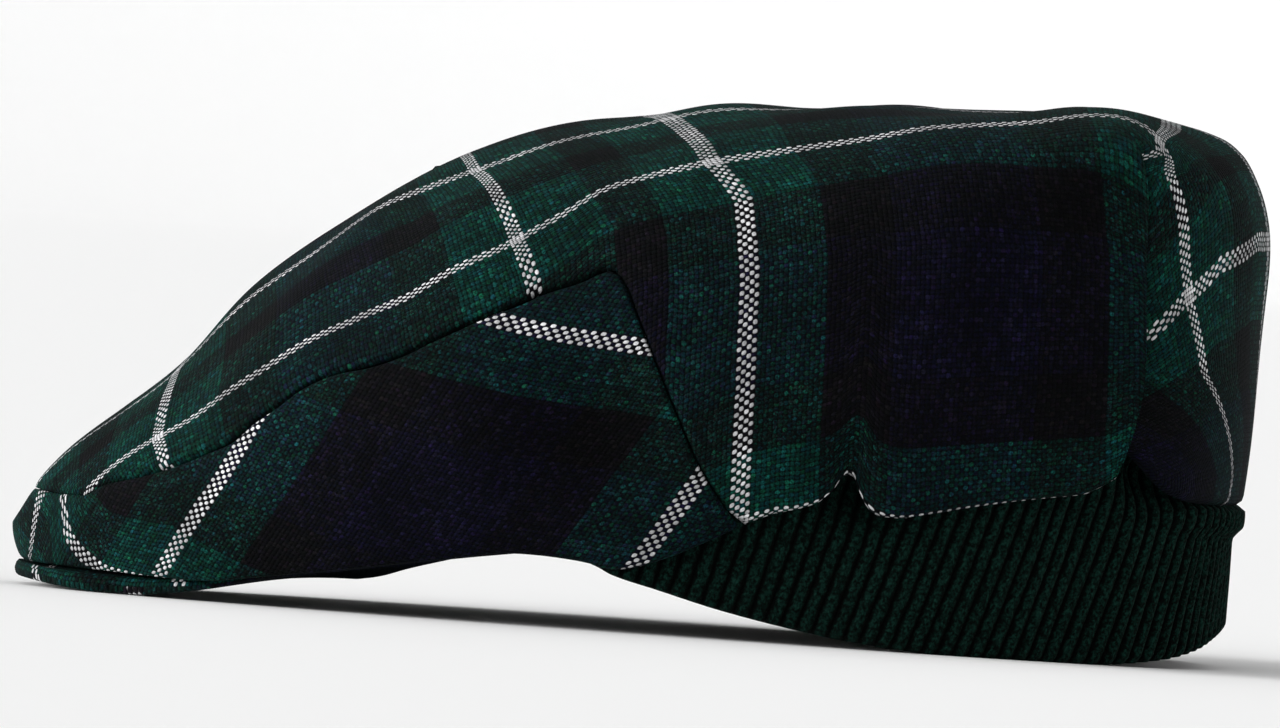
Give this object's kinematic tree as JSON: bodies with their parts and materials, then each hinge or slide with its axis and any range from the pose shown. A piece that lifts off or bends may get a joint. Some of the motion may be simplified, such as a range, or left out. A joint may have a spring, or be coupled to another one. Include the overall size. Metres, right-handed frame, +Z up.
{
  "type": "tartan flat cap with a knit neck band",
  "caption": "Soft flat cap of tartan cloth with a short stiff peak and a rib-knit band round the back that covers the neck and ears.",
  "frame": {"origin": "under the middle of the cap's bounding box, on the surface that it rests on", "axes": "+Z up; the peak points along -X and the back of the head is at +X; the wearer's left side faces -Y"},
  "size_m": [0.2776, 0.2002, 0.1234],
  "materials": {
    "tartan_cloth": "soft plain-weave wool in a green, black, navy and white tartan",
    "rib_knit": "dark green brushed rib knit"
  },
  "bodies": {
    "root": {"top_panel": "tartan_cloth", "side_panel_left": "tartan_cloth", "side_panel_right": "tartan_cloth", "peak": "tartan_cloth", "knit_band": "rib_knit"}
  },
  "joints": []
}
